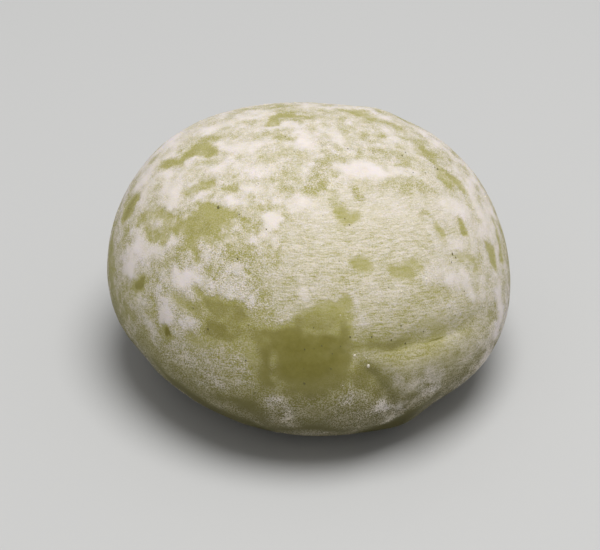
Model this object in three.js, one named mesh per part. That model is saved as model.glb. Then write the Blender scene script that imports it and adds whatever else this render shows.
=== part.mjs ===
// A round rice cake: a ball of soft pounded-rice dough, rolled by hand, gathered shut low on its right side
// and set down, so that its own weight spreads a flat foot. It is uncut, so it is one solid.
// Millimetres and degrees, +Z up. The front faces -Y, and the origin is under the middle of the cake's box.
import * as THREE from "three";
import { mergeVertices } from "three/addons/utils/BufferGeometryUtils.js";

// Overall size
const width = 49.9; // left to right
const depth = 47.0; // front to back
const height = 31.2; // table to crown
const waistHeight = 12.2; // table to the widest line
const footShare = 0.64; // the foot's radius against the waist's

// How full the section is: 1 is a plain ellipse, and less is squarer
const shoulderFullness = 0.72;
const bellyFullness = 0.85;

// How far the hand-rolled ball is from true
const crownLean = -1.7; // the crown against the foot, along X
const lobes = { count: 3, size: 0.018, towards: 42 };
const swells = { count: 9, size: 0.075, shortest: 15, longest: 34, seed: 7 };

// Dough that is pressed in (rise below 0) or bulges out, each along a path of [longitude, latitude].
// Longitude runs anticlockwise from +X, latitude is the angle above the core, and reach is the half width.
const folds = [
  {
    name: "tuck above the gather",
    path: [[-82, 16.5], [-66, 14], [-52, 12.5], [-35, 8.5], [-24, 5]],
    rise: -0.6,
    reach: 1.5,
  },
  { name: "roll under the tuck", path: [[-66, 8], [-55, 8], [-42, 5]], rise: 0.45, reach: 2.6 },
  { name: "long pleat", path: [[-76, 11], [-71, 4.5], [-66, -4], [-62, -14]], rise: -0.9, reach: 1.5 },
  { name: "short pleat", path: [[-55, 0], [-58, -7], [-60, -14]], rise: -0.5, reach: 1.2 },
  { name: "pinched side", path: [[-46, 0], [-46, -12], [-46, -26]], rise: -0.7, reach: 4.0 },
  { name: "toe of the gather", path: [[-58, -18], [-57, -28]], rise: 0.5, reach: 3.2 },
  { name: "thumb hollow on the left", path: [[-155, -2], [-150, -16]], rise: -0.5, reach: 3.2 },
  { name: "shoulder at the back", path: [[52, 46], [66, 44]], rise: 0.4, reach: 6.0 },
];
const foldFade = 0.7; // how quickly a fold rises from its ends: less is quicker
const foldSteps = 48; // samples along a fold
const pressedFlat = 3.0; // below this height the table evens out what the skin does up and down

// How finely the skin is divided
const cellsAcross = 30; // along each side of the crown's patch, and a quarter of the way round
const cellsDown = 24; // from the crown's patch to the foot's rim
const crownShare = 0.39; // the crown's patch against the whole way down

const core = new THREE.Vector3(0, 0, waistHeight);
const footAngle = Math.acos(footShare ** (1 / bellyFullness));

// The plain dome: down runs from 0 at the crown to 1 at the foot's rim, and around is an angle from +X
function domePoint(down, around) {
  const section = Math.PI / 2 - down * (Math.PI / 2 + footAngle);
  const aboveWaist = section >= 0;
  const reach = Math.cos(section) ** (aboveWaist ? shoulderFullness : bellyFullness);
  const rise = aboveWaist ? height - waistHeight : waistHeight / Math.sin(footAngle);
  const up = rise * Math.sin(section);
  const turn = lobes.count * (around - THREE.MathUtils.degToRad(lobes.towards));
  const lobe = 1 + lobes.size * Math.cos(turn);
  return new THREE.Vector3(
    (width / 2) * lobe * reach * Math.cos(around) + (crownLean * up) / height,
    (depth / 2) * lobe * reach * Math.sin(around),
    Math.max(0, waistHeight + up),
  );
}

// The way from the core to a place on the skin
function towards([longitude, latitude]) {
  const around = THREE.MathUtils.degToRad(longitude);
  const up = THREE.MathUtils.degToRad(latitude);
  return new THREE.Vector3(Math.cos(up) * Math.cos(around), Math.cos(up) * Math.sin(around), Math.sin(up));
}

// The slow swells of a hand-rolled ball: plane waves in all directions, from a seeded draw
function makeSwells({ count, shortest, longest, seed }) {
  let state = seed;
  const random = () => {
    state = (state * 16807) % 2147483647;
    return state / 2147483647;
  };
  return Array.from({ length: count }, () => {
    const way = new THREE.Vector3(random() - 0.5, random() - 0.5, random() - 0.5).normalize();
    const length = shortest + (longest - shortest) * random();
    return { way: way.multiplyScalar((2 * Math.PI) / length), start: 2 * Math.PI * random() };
  });
}

// A fold's path as directions from the core
function traceFold({ path, rise, reach }) {
  const line = new THREE.CatmullRomCurve3(path.map(towards));
  return { rise, reach, steps: line.getPoints(foldSteps).map((step) => step.normalize()) };
}

const tracedSwells = makeSwells(swells);
const tracedFolds = folds.map(traceFold);

function swellHeight(wave, point) {
  return swells.size * Math.sin(wave.way.dot(point) + wave.start);
}

// A soft ridge or groove that fades towards both ends of its path
function foldHeight({ rise, reach, steps }, way, radius) {
  let nearest = 0;
  steps.forEach((step, i) => {
    if (step.dot(way) > steps[nearest].dot(way)) nearest = i;
  });
  const away = radius * steps[nearest].angleTo(way);
  const fade = Math.sin((Math.PI * (nearest + 1)) / (steps.length + 1)) ** foldFade;
  return rise * fade * Math.exp(-((away / reach) ** 2));
}

// The uneven skin: the dome, moved in or out along the line from the core, with its rim kept on the table
function skinPoint(down, around) {
  const point = domePoint(down, around);
  const way = point.clone().sub(core);
  const radius = way.length();
  way.normalize();
  const swell = tracedSwells.reduce((sum, wave) => sum + swellHeight(wave, point), 0);
  const fold = tracedFolds.reduce((sum, each) => sum + foldHeight(each, way, radius), 0);
  const shift = way.multiplyScalar(swell + fold);
  shift.z *= Math.min(1, point.z / pressedFlat);
  return point.add(shift);
}

// A box's even grid, blown up: its top becomes the crown, its sides the flanks and its bottom the foot
function blownUp(x, y, z) {
  const ring = Math.max(Math.abs(x), Math.abs(y));
  let around = 0;
  if (ring > 0 && Math.abs(x) >= Math.abs(y)) around = (Math.PI / 4) * (y / x) + (x < 0 ? Math.PI : 0);
  else if (ring > 0) around = (Math.PI / 2) * Math.sign(y) - (Math.PI / 4) * (x / y);
  if (z === 1) return skinPoint(crownShare * ring, around);
  if (z === -1) return skinPoint(1, around).multiplyScalar(ring);
  return skinPoint(crownShare + ((1 - crownShare) * (1 - z)) / 2, around);
}

// Each cell is split along its shorter diagonal. A box's index gives a cell as a b d and b c d.
function splitShorter(ball) {
  const index = ball.getIndex();
  const places = ball.getAttribute("position");
  const corner = (i) => new THREE.Vector3().fromBufferAttribute(places, i);
  for (let first = 0; first < index.count; first += 6) {
    const [a, b, d, , c] = index.array.slice(first, first + 6);
    if (corner(a).distanceTo(corner(c)) > corner(b).distanceTo(corner(d))) continue;
    [a, b, c, a, c, d].forEach((vertex, i) => index.setX(first + i, vertex));
  }
}

function doughBall() {
  const box = new THREE.BoxGeometry(2, 2, 2, cellsAcross, cellsAcross, cellsDown);
  box.deleteAttribute("normal");
  box.deleteAttribute("uv");
  const ball = mergeVertices(box);
  const places = ball.getAttribute("position");
  for (let i = 0; i < places.count; i++) {
    const moved = blownUp(places.getX(i), places.getY(i), places.getZ(i));
    places.setXYZ(i, moved.x, moved.y, moved.z);
  }
  ball.computeBoundingBox();
  const middle = ball.boundingBox.getCenter(new THREE.Vector3());
  ball.translate(-middle.x, -middle.y, 0);
  splitShorter(ball);
  ball.computeVertexNormals();
  return ball;
}

const dough = new THREE.MeshStandardMaterial({ color: "#b3ae7c", roughness: 0.85, metalness: 0 });
const mochi = new THREE.Mesh(doughBall(), dough);
mochi.name = "mochi";

const riceCake = new THREE.Group();
riceCake.add(mochi);

export default riceCake;
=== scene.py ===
import math

import bmesh
import bpy
import numpy as np
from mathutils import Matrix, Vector, noise
from mathutils.bvhtree import BVHTree


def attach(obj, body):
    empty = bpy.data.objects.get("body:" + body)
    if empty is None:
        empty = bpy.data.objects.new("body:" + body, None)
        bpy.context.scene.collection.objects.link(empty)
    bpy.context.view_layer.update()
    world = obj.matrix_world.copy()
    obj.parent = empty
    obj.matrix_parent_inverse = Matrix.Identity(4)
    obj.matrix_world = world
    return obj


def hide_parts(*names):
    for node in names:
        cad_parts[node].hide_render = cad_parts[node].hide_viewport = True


# A hand-rolled rice cake of green dough, tossed in starch. The CAD ball gives its form, and this script
# gives it its skin. Lengths are in millimetres and turns in degrees, and mm turns them to metres.
# A place on the ball is (longitude, latitude): longitude runs anticlockwise from +X, and latitude is the
# angle above the core.
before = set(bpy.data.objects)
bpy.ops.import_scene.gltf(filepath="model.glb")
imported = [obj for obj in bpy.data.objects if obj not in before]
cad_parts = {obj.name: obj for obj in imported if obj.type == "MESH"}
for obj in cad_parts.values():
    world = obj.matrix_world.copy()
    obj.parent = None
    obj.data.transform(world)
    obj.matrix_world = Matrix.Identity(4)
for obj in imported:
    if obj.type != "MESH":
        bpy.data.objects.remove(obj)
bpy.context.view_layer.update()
scene = bpy.context.scene
mm = 0.001
core = Vector((0.21, 0.20, 12.2))  # the middle of the ball's waist, where the skin is measured from
noiseSeed = 1
noise.seed_set(noiseSeed)  # without it the starch's edges wander another way each run


def fromHex(code):
    shares = [int(code[i : i + 2], 16) / 255 for i in (1, 3, 5)]
    linear = [s / 12.92 if s <= 0.04045 else ((s + 0.055) / 1.055) ** 2.4 for s in shares]
    return (*linear, 1.0)


def addNode(tree, kind, inputs=None, **settings):
    # an input is a value, or the output socket that it is linked from
    node = tree.nodes.new(kind)
    for name, value in settings.items():
        setattr(node, name, value)
    for socket, value in (inputs or {}).items():
        if isinstance(value, bpy.types.NodeSocket):
            tree.links.new(value, node.inputs[socket])
        else:
            node.inputs[socket].default_value = value
    return node


def addMath(tree, operation, *values, **settings):
    inputs = dict(enumerate(values))
    return addNode(tree, "ShaderNodeMath", inputs, operation=operation, **settings).outputs[0]


def addScaled(tree, vector, factor):
    return addNode(tree, "ShaderNodeVectorMath", {0: vector, "Scale": factor}, operation="SCALE").outputs[0]


def addMixed(tree, share, colour, other):
    return addNode(tree, "ShaderNodeMix", {0: share, 6: colour, 7: other}, data_type="RGBA").outputs[2]


def addNoise(tree, place, size, octaves=2.0, roughness=0.5):
    return addNode(tree, "ShaderNodeTexNoise", {
        "Vector": place, "Scale": 1 / size, "Detail": octaves, "Roughness": roughness,
    }).outputs["Fac"]


def addRamp(tree, value, low, high, start, end, **settings):
    # from start to end, as the value goes from low to high
    return addNode(tree, "ShaderNodeMapRange", {
        "Value": value, "From Min": low, "From Max": high, "To Min": start, "To Max": end,
    }, **settings).outputs[0]


# The camera, the table and the light
view = {
    "elevation": 38.0,  # above the table
    "distance": 300.0,
    "target": (-1.12, 0.0, 12.45),
    "lens": 145.4,  # on a sensor 36 mm wide
}
studio = {
    "skyColour": "#FFFFFF",
    "skyStrength": 0.32,
    "softboxSide": 350.0,
    "softboxPlace": (60.0, -60.0, 600.0),
    "softboxWatts": 3.02,
    "softboxColour": "#FFFFFF",
    "floorSide": 4000.0,
    "floorColour": "#C8C8C7",
    "floorRoughness": 0.9,
}


def makeCamera():
    lens = bpy.data.cameras.new("camera")
    lens.lens = view["lens"]
    camera = bpy.data.objects.new("camera", lens)
    tilt = math.radians(view["elevation"])
    back = Vector((0, -math.cos(tilt), math.sin(tilt)))
    camera.location = (Vector(view["target"]) + back * view["distance"]) * mm
    camera.rotation_euler = (math.pi / 2 - tilt, 0, 0)
    scene.collection.objects.link(camera)
    scene.camera = camera


def makeFloor():
    half = studio["floorSide"] / 2 * mm
    corners = [(-half, -half, 0), (half, -half, 0), (half, half, 0), (-half, half, 0)]
    mesh = bpy.data.meshes.new("floor")
    mesh.from_pydata(corners, [], [(0, 1, 2, 3)])
    floor = bpy.data.objects.new("floor", mesh)
    scene.collection.objects.link(floor)
    card = bpy.data.materials.new("matt white card")
    card.use_nodes = True
    shader = card.node_tree.nodes["Principled BSDF"]
    shader.inputs["Base Color"].default_value = fromHex(studio["floorColour"])
    shader.inputs["Roughness"].default_value = studio["floorRoughness"]
    mesh.materials.append(card)


def makeLight():
    scene.view_settings.view_transform = "Standard"
    sky = bpy.data.worlds.new("sky")
    sky.use_nodes = True
    background = sky.node_tree.nodes["Background"]
    background.inputs["Color"].default_value = fromHex(studio["skyColour"])
    background.inputs["Strength"].default_value = studio["skyStrength"]
    scene.world = sky
    softbox = bpy.data.lights.new("softbox", "AREA")
    softbox.shape = "DISK"
    softbox.size = studio["softboxSide"] * mm
    softbox.energy = studio["softboxWatts"]
    softbox.color = fromHex(studio["softboxColour"])[:3]
    lamp = bpy.data.objects.new("softbox", softbox)
    lamp.location = Vector(studio["softboxPlace"]) * mm
    lamp.rotation_euler = (core * mm - lamp.location).to_track_quat("-Z", "Y").to_euler()
    scene.collection.objects.link(lamp)


makeCamera()
makeFloor()
makeLight()
print("camera and studio made")

# The form of the skin
skin = {
    "welded": 0.001,  # corners of the CAD ball that lie closer than this are one
    "cells": 126,  # along each edge of the blown-up cube
    "evening": 14,  # rounds of smoothing, which take the flat facets out of the CAD ball
    "settled": 1.5,  # below this height the table presses the small relief out
    "lumps": [(5.0, 0.07), (2.2, 0.03), (0.9, 0.012)],  # (size, height)
    "coatHeight": 0.06,  # a full coat of starch
    "coatGrain": (0.7, 0.03),  # (size, height) of the soft heaps in it
}
fold = {
    "steps": 40,  # from one place of a path to the next
    "farthest": 3.0,  # past its ends, where it has died out
    "fade": 0.6,  # the lower, the more suddenly it ends
    "steepness": 1.5,  # the higher, the squarer it steps in
}
# Where the dough is folded, sharper than the CAD ball can hold: [what, depth, width above the fold, width
# below it, how tightly it is shut, path]. The dough sinks slowly towards a fold and steps out again below it.
# A shut fold also gets a painted shade line in the dough's colour.
creases = [
    ["tuck above the gather", 0.2, 1.0, 0.3, 1.0,
     [(-76, 13.5), (-70, 13), (-64, 12.8), (-57, 12.4), (-50, 11), (-46, 10.1), (-41, 8.8), (-35, 6.8)]],
    ["long pleat", 0.26, 0.7, 0.5, 0.0, [(-76, 12), (-73, 8), (-70, 4), (-68, 0), (-65, -5)]],
    ["short pleat", 0.2, 0.45, 0.35, 0.0, [(-64, -1), (-60, -6), (-55, -13)]],
    ["wrinkle under the tuck", 0.07, 0.4, 0.3, 0.4, [(-66, 11), (-58, 10.5), (-50, 9.5)]],
]

# Starch on the ball, laid on in this order: [what, how much of the dough it hides, softness of its edge,
# path of (longitude, latitude, reach)]. The coats also say how streaky and how grainy their film dried.
coats = [
    ["over the crown", 0.6, 4, 0.25, 0.5,
     [(-90, 78, 9), (-20, 72, 9), (40, 70, 9), (120, 72, 9), (170, 60, 8)]],
    ["left shoulder", 0.72, 3, 0.2, 0.5, [(170, 38, 4), (-178, 42, 5), (-165, 38, 5), (-150, 50, 5)]],
    ["left flank", 0.7, 3, 0.05, 0.7, [(-172, 18, 4), (-160, 18, 5), (-145, 22, 5), (-140, 26, 4)]],
    ["left flank, low", 0.28, 3, 0.2, 0.9, [(-154, 8, 4), (-145, 6, 4), (-137, 13, 4)]],
    ["left of the middle", 0.5, 2, 0.1, 0.8,
     [(-128, 42, 5), (-118, 43, 5), (-110, 39, 5), (-108, 32, 4)]],
    ["under the left crown", 0.64, 2, 0.2, 0.5, [(-146, 57, 2.5), (-128, 59, 4), (-112, 60, 4)]],
    ["middle column", 0.6, 1.5, 0.3, 0.5, [(-100, 63, 3), (-97, 54, 4), (-92, 48, 4), (-84, 50, 4)]],
    ["right of the middle", 0.66, 2, 0.8, 0.7,
     [(-78, 53, 5), (-60, 51, 6), (-42, 46, 6), (-28, 42, 5)]],
    ["belly, high", 0.6, 2, 0.95, 0.8,
     [(-94, 41, 4), (-78, 41, 5), (-58, 38, 5), (-42, 32, 5), (-30, 27, 4)]],
    ["belly", 0.53, 2, 0.9, 0.8, [(-94, 31, 3), (-78, 32, 4), (-60, 28, 5), (-42, 23, 5)]],
    ["above the fold", 0.41, 2, 0.9, 0.8, [(-74, 22, 4), (-60, 21, 4.5), (-47, 18, 4.5), (-37, 12, 4)]],
    ["right rim", 0.72, 2.5, 0.4, 0.7, [(-6, 32, 4), (-14, 18, 4), (-24, 8, 4)]],
    ["low in front", 0.1, 3, 0.2, 1,
     [(-132, -4, 5), (-115, -3, 6), (-96, -2, 6), (-78, 0, 6), (-64, 1, 5)]],
    ["on the gather", 0.34, 2, 0.7, 0.6, [(-66, 10, 2), (-57, 8, 3), (-46, 6, 4), (-36, 3, 4)]],
    ["right of the pleat", 0.3, 1.5, 0.4, 0.9, [(-66, 3, 1.5), (-60, 0, 1.8), (-58, -6, 1.5)]],
    ["right rim, low", 0.6, 2.5, 0.2, 0.6, [(-20, 0, 4), (-26, -10, 4)]],
    ["over the upper left rim", 0.8, 1.5, 0.2, 0.4,
     [(167, 34, 1.2), (158, 36.5, 1.3), (150.5, 40, 1.2), (144.5, 42.5, 1)]],
    ["over the upper right rim", 0.84, 1, 0.3, 0.5,
     [(25, 26.5, 0.7), (15.5, 27, 0.8), (7, 25, 0.8), (3, 22, 0.8)]],
    ["along the top rim", 0.86, 0.9, 0.2, 0.4, [(108, 57.5, 0.6), (85.5, 58, 0.6), (71, 55.5, 0.6)]],
    ["beside the band", 0.6, 0.8, 0.2, 0.9, [(-115, 30, 0.7), (-111.5, 29.5, 0.9), (-107, 29, 0.7)]],
    ["below the band", 0.05, 1, 0.2, 0.9,
     [(-124.5, 17.5, 1.2), (-120.5, 18.5, 1.7), (-115, 18.5, 1.9), (-108.5, 19, 1.6)]],
    ["brush marks low on the left", 0.3, 1.4, 0.3, 1, [(-137, 3.5, 1.2), (-132, 7, 1.4), (-127, 8.5, 1.2)]],
    ["filaments on the left", 0.36, 1.4, 0.5, 1.3,
     [(-128, 4.5, 1.3), (-123, 4.5, 1.8), (-117.5, 6, 2.2), (-111.5, 10, 2)]],
    ["filaments on the left, low", 0.32, 1.4, 0.5, 1.3,
     [(-122.5, 0.5, 1.2), (-116, 2, 1.4), (-109.5, 6, 1.4)]],
    ["below the patch", 0.1, 1.2, 0.1, 1.2, [(-85.5, 1, 1.2), (-90.5, 0.5, 1)]],
    ["stipple at the right of the foot", 0.24, 1.4, 0, 1.3,
     [(-81, 1, 1.6), (-77.5, -3, 2), (-79, -9.5, 1.6)]],
    ["stipple below the patch", 0.38, 1, 0.1, 1.3, [(-100.5, 0.5, 0.7), (-99.5, -2, 1.1), (-98, -5.5, 1.1)]],
    ["stipple at the foot", 0.32, 1, 0.1, 1.3, [(-98.5, -9.5, 1.1), (-96, -12, 0.9)]],
    ["under the tuck", 0.3, 0.9, 0.8, 0.5,
     [(-74.5, 12, 1.2), (-67.5, 11, 1.6), (-59.5, 9.5, 1.8), (-51, 7.5, 1.8), (-43.5, 4, 1.5)]],
    ["middle line", 0.48, 0.9, 0.2, 0.7, [(-138, 77, 0.5), (-120.5, 72, 0.6), (-114, 67.5, 0.7)]],
    ["bare grain", 0.24, 0.8, 0, 1, [(-124.5, 42, 0.8), (-120.5, 39.5, 0.9)]],
    ["stipple at the right of the foot, far", 0.4, 1.4, 0, 1.2, [(-72, -6.5, 1.6), (-66.5, -10.5, 1.6)]],
    ["around the pleat", 0.06, 1.4, 0.1, 1, [(-76, 9, 1.3), (-74, 4, 1.4), (-71.5, 0.5, 1.3)]],
    ["right of the belly", 0.8, 1.4, 0.4, 0.6,
     [(-46, 29.5, 1), (-42, 28, 1.3), (-36.5, 24, 1.3), (-33, 20.5, 1.1)]],
    ["right, below the dabs", 0.86, 1.2, 0.3, 0.6, [(-28, 31.5, 1), (-22, 27.5, 1.1)]],
    ["beside the middle", 0.44, 1, 0.1, 0.5, [(-113.5, 47.5, 1), (-106.5, 44.5, 1), (-103.5, 41, 0.9)]],
    ["streaks on the left", 0.7, 1.2, 0.6, 0.8,
     [(-155, 13, 0.8), (-149, 12, 0.9), (-144.5, 10, 1), (-141, 7, 0.9)]],
    ["beside the bare column", 0.6, 1, 0.1, 0.6,
     [(-110.5, 41.5, 0.8), (-107, 41, 0.8), (-107.5, 36.5, 0.8), (-107.5, 32, 0.8)]],
    ["belly, middle", 0.62, 1.5, 0.9, 0.8, [(-67.5, 31.5, 1.5), (-64, 27, 1.6), (-59.5, 30.5, 1.4)]],
    ["belly, right", 0.56, 1.2, 0.8, 0.8, [(-45, 20, 1.1), (-41, 15.5, 1.2)]],
    ["right, low and pale", 0.44, 1.4, 0.3, 0.5,
     [(-62, 1.5, 1), (-60, -5.5, 1.1), (-63.5, -10, 1), (-68, -12, 0.8)]],
    ["behind the drift", 0.48, 1.2, 0.25, 0.7, [(7.5, 84.5, 1.2), (-0.5, 78, 1), (2, 69, 1), (-3, 61.5, 1)]],
    ["middle column, low", 0.42, 1.2, 0.15, 0.5, [(-121.5, 45.5, 1), (-116.5, 46.5, 1)]],
    ["strip under the drift", 0.5, 0.8, 0.5, 0.9,
     [(-36, 60.5, 0.6), (-31, 58.5, 0.8), (-26, 56, 0.9),
      (-19, 53, 0.9), (-15.5, 48.5, 0.9), (-13, 45.5, 0.7)]],
    ["fleck under the drift", 0.38, 0.4, 0.4, 0.9, [(-53, 65.5, 0.4), (-55, 63, 0.5), (-55, 60, 0.4)]],
    ["behind the crown, haze", 0.46, 1, 0.2, 0.6,
     [(42, 68, 0.6), (34, 66.5, 0.9), (20, 68, 0.8), (17, 71, 0.7)]],
    ["right, high", 0.28, 0.9, 0.2, 0.7, [(12.5, 48, 0.9), (8.5, 48, 1), (6, 45.5, 1), (2, 44, 0.7)]],
    ["right of the patch, low", 0.3, 0.6, 0.8, 0.9, [(-77.5, 15.5, 0.5), (-77.5, 13, 0.6), (-77.5, 11, 0.5)]],
    ["front of the crown", 0.4, 0.9, 0.2, 0.9,
     [(-71.5, 80, 0.8), (-81.5, 75.5, 1.1), (-84.5, 72, 1.3), (-87.5, 69.5, 1.1)]],
    ["above the front of the crown", 0.34, 0.8, 0.2, 0.8,
     [(60, 86.5, 0.7), (16, 84.5, 0.7), (-6.5, 81, 0.5)]],
    ["below the fold", 0.26, 0.7, 0.8, 0.9,
     [(-76.5, 13.5, 0.6), (-71.5, 13, 0.7), (-65.5, 11, 0.7), (-61, 10.5, 0.6), (-54, 10.5, 0.5)]],
]
drifts = [
    ["front of the crown", 0.93, 0.8,
     [(-48.5, 77.5, 0.8), (-42.5, 73.5, 1.1), (-37, 71, 1.5), (-29, 69.5, 1.6),
      (-24, 67, 1.3), (-23, 64, 0.9), (-20, 61.5, 0.5)]],
    ["back of the crown", 0.92, 0.8, [(121, 72, 0.8), (110.5, 73.5, 0.9)]],
    ["back of the crown, low", 0.84, 0.8, [(106.5, 78, 0.9), (97.5, 82.5, 1)]],
    ["right of the back", 0.84, 0.8, [(55, 75.5, 0.8), (33, 78.5, 0.7)]],
    ["left of the crown", 0.8, 0.8, [(154.5, 84, 0.8), (117, 86, 0.8)]],
    ["left crown, high", 0.86, 0.9, [(171.5, 60.5, 1), (173.5, 64.5, 1.3), (177, 68, 1.2)]],
    ["left crown, low", 0.86, 0.8, [(-161, 63.5, 0.7), (-153.5, 67, 0.9), (-146, 69.5, 1), (-136.5, 71, 1)]],
    ["left crown, lower", 0.76, 0.6, [(-141, 60.5, 0.8), (-137, 62, 0.9)]],
    ["round heap", 0.95, 0.45, [(-110, 54.5, 1.25)]],
    ["middle top", 0.8, 0.8, [(-101.5, 63, 0.8), (-92.5, 62, 0.9)]],
    ["middle top, low", 0.74, 0.9, [(-87.5, 58, 0.9), (-83.5, 57, 0.8)]],
    ["left shoulder", 0.92, 0.7, [(-169.5, 41, 0.8), (-164.5, 43, 0.9), (-160.5, 41, 0.9), (-162, 39, 0.7)]],
    ["shoulder, right", 0.88, 0.5, [(-156.5, 49, 0.6), (-153.5, 50.5, 0.6)]],
    ["shoulder, rim", 0.92, 0.9, [(177.5, 31.5, 0.6), (176, 34, 0.9), (173.5, 36, 0.9), (170.5, 38, 0.8)]],
    ["above the shoulder", 0.9, 0.7, [(159, 37, 0.6), (160.5, 39.5, 0.8), (161, 44, 0.6)]],
    ["right of the shoulder", 0.9, 0.7, [(-172.5, 47.5, 0.8)]],
    ["right of the shoulder, low", 0.86, 0.7, [(-173, 53.5, 0.6), (-166.5, 56.5, 0.6), (-166, 60, 0.7)]],
    ["left cheek, top", 0.84, 0.6, [(-163, 27.5, 0.5), (-160, 26.5, 0.7), (-156.5, 26, 0.8)]],
    ["left cheek", 0.92, 0.7,
     [(-156.5, 26.5, 1.1), (-151.5, 27, 1.2), (-150, 30, 0.9), (-148.5, 33, 0.8), (-146, 35.5, 0.5)]],
    ["left cheek, edge", 0.74, 0.7, [(-167, 20, 0.4), (-164.5, 18.5, 0.5), (-160, 19, 0.9), (-158, 18, 0.7)]],
    ["left middle, low", 0.84, 0.7, [(-138, 27.5, 0.7), (-135, 28.5, 0.9), (-132, 28.5, 0.7)]],
    ["left middle, lower", 0.74, 0.8, [(-137, 26.5, 0.6), (-138.5, 23, 0.5)]],
    ["left middle, arm", 0.8, 0.6, [(-130, 29, 0.7), (-127, 30.5, 0.7), (-125.5, 30.5, 0.4)]],
    ["left middle, dab", 0.85, 0.5, [(-134, 38, 0.5), (-131, 36, 0.7), (-129.5, 36, 0.5)]],
    ["middle", 0.86, 0.7, [(-117.5, 37.5, 0.5), (-118, 36.5, 0.7), (-121, 34.5, 0.5), (-118, 33.5, 0.3)]],
    ["edge of the bare patch", 0.6, 0.8, [(-100.5, 26, 0.6), (-98.5, 27, 0.6)]],
    ["above the bare patch", 0.78, 0.5, [(-92.5, 33, 0.5), (-91.5, 31.5, 0.5)]],
    ["right of the patch", 0.8, 0.5, [(-76, 29.5, 0.4), (-75.5, 28, 0.3)]],
    ["right of the patch, middle", 0.7, 0.6, [(-75, 24, 0.5), (-74, 23.5, 0.6)]],
    ["below the left band", 0.84, 0.7,
     [(-141, 18, 0.6), (-139, 17, 0.9), (-136.5, 16, 1.1), (-137.5, 13.5, 0.8)]],
    ["below the left band, low", 0.78, 0.7, [(-131.5, 16.5, 0.7), (-129, 16.5, 0.8), (-125.5, 18, 0.7)]],
    ["right, low", 0.85, 0.5, [(-49, 29.5, 0.5), (-49, 28, 0.5)]],
    ["right, two dabs", 0.9, 0.6, [(-32.5, 24, 0.5), (-33, 21, 0.7), (-33.5, 17, 0.4), (-33, 15.5, 0.4)]],
    ["right rim", 0.95, 0.8, [(-19.5, 9.5, 0.7), (-20.5, 5.5, 0.9), (-21.5, 2, 0.8), (-24.5, -0.5, 0.5)]],
    ["right, high", 0.86, 0.8, [(-16.5, 41.5, 0.8), (-14, 38.5, 1), (-10, 34.5, 0.9)]],
    ["right, high rim", 0.92, 0.7, [(13, 29.5, 0.5), (3, 32.5, 0.7), (-2.5, 30.5, 0.8), (-6, 28, 0.8)]],
    ["under the tuck", 0.5, 0.8, [(-44, 8, 0.5), (-41.5, 5, 0.5)]],
    ["beside the short pleat", 0.6, 1.8, [(-56.5, 2, 0.8), (-53.5, -1.5, 1), (-53, -6.5, 1), (-56, -9, 0.6)]],
    ["above the left middle", 0.88, 0.5,
     [(-149, 49, 0.4), (-143, 52.5, 0.5), (-136, 55.5, 0.5), (-132, 56.5, 0.8)]],
    ["high on the left", 0.92, 0.9, [(155.5, 52.5, 0.6), (148.5, 54.5, 1), (144.5, 56, 1)]],
    ["right of the crown", 0.9, 0.7, [(-14.5, 60.5, 0.8), (-10, 56, 1), (-6.5, 52.5, 0.6)]],
    ["left cheek, low", 0.86, 0.6, [(-150, 25, 0.9), (-147.5, 25, 0.7)]],
    ["left of the band", 0.8, 0.7, [(-143.5, 20.5, 0.6), (-142, 19.5, 0.8), (-139.5, 18.5, 0.6)]],
    ["behind on the right", 0.86, 0.8, [(33, 58, 0.7), (12.5, 60.5, 0.8)]],
    ["beside the band", 0.8, 0.6, [(-116.5, 29, 0.5), (-114, 28.5, 0.5)]],
    ["right of the heap", 0.74, 0.8, [(-102.5, 52.5, 0.7), (-99.5, 50.5, 0.7)]],
    ["belly, left", 0.7, 0.7, [(-77.5, 39, 0.5)]],
]
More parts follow.
